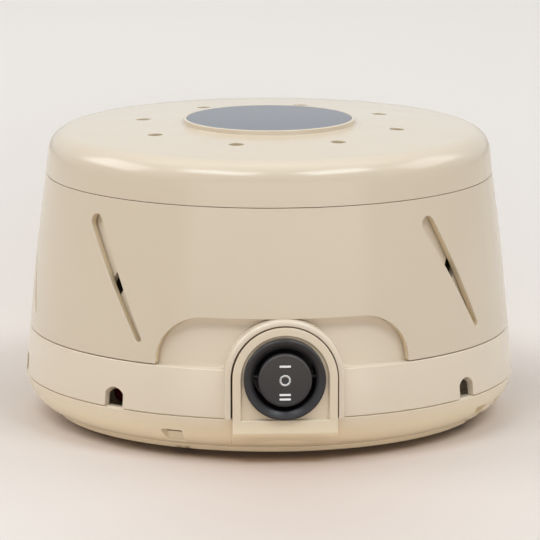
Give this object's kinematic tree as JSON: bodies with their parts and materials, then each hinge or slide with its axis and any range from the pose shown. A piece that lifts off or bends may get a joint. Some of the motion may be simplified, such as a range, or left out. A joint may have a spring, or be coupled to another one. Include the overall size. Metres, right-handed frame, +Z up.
{
  "type": "white noise sound machine",
  "caption": "Round tabletop sound conditioner: a motor-driven fan inside nested slotted shells, with a turning cap, a turning collar and a three-position rocker switch.",
  "frame": {"origin": "on the floor, under the middle of the object, on the axis of the shells", "axes": "+Z up along the axis of cap, collar and fan; the switch faces -Y; +X to the right seen from the switch"},
  "size_m": [0.146, 0.1478, 0.089],
  "materials": {
    "cream_plastic": "moulded ABS, satin to gloss, cream",
    "badge_plastic": "slate grey disc, fine matt texture",
    "black_plastic": "moulded nylon, fine spark texture",
    "rocker_plastic": "moulded nylon, satin, white printed marks",
    "black_rubber": "soft rubber",
    "zinc_steel": "zinc plated",
    "electrical_steel": "stacked laminations",
    "cast_aluminium": "as cast",
    "brass": "tinned brass blade",
    "bronze": "sintered, oily",
    "copper": "enamelled wire",
    "nylon": "natural nylon",
    "red_insulation": "soft PVC",
    "black_insulation": "soft PVC",
    "white_insulation": "soft PVC"
  },
  "bodies": {
    "root": {"upper_housing": "cream_plastic", "bottom_pan": "cream_plastic", "rubber_feet": "black_rubber", "housing_screws": "zinc_steel", "cord_gland": "black_rubber", "switch_body": "black_plastic", "switch_terminals": "brass", "stator_stack": "electrical_steel", "coil_core": "electrical_steel", "coil_bobbin": "nylon", "coil_winding": "copper", "shading_rings": "copper", "upper_bracket": "cast_aluminium", "lower_bracket": "cast_aluminium", "upper_bearing": "bronze", "lower_bearing": "bronze", "motor_screws": "zinc_steel", "motor_nuts": "zinc_steel", "standoffs": "cast_aluminium", "motor_plate": "zinc_steel", "rubber_mounts": "black_rubber", "mount_nuts": "zinc_steel", "lead_red": "red_insulation", "lead_black": "black_insulation", "lead_white": "white_insulation", "lead_splice": "red_insulation"},
    "cap": {"cap": "cream_plastic", "badge": "badge_plastic"},
    "collar": {"collar": "cream_plastic"},
    "rocker": {"rocker": "rocker_plastic"},
    "rotor": {"rotor": "electrical_steel", "shaft": "zinc_steel", "thrust_washers": "nylon", "fan": "nylon", "fan_clip": "zinc_steel"}
  },
  "joints": [
    {"name": "cap_turn", "type": "hinge", "parent": "root", "child": "cap", "pos_m": [0, 0, 0.0834], "axis": [0, 0, 1], "range_deg": [-22, 22]},
    {"name": "collar_turn", "type": "hinge", "parent": "root", "child": "collar", "pos_m": [0, 0, 0.05], "axis": [0, 0, 1], "range_deg": [-16, 16]},
    {"name": "rocker_tilt", "type": "hinge", "parent": "root", "child": "rocker", "pos_m": [0, -0.0684, 0.0252], "axis": [1, 0, 0], "range_deg": [-11, 11]},
    {"name": "fan_spin", "type": "hinge", "parent": "root", "child": "rotor", "pos_m": [0, 0, 0.034], "axis": [0, 0, 1], "continuous": true}
  ]
}
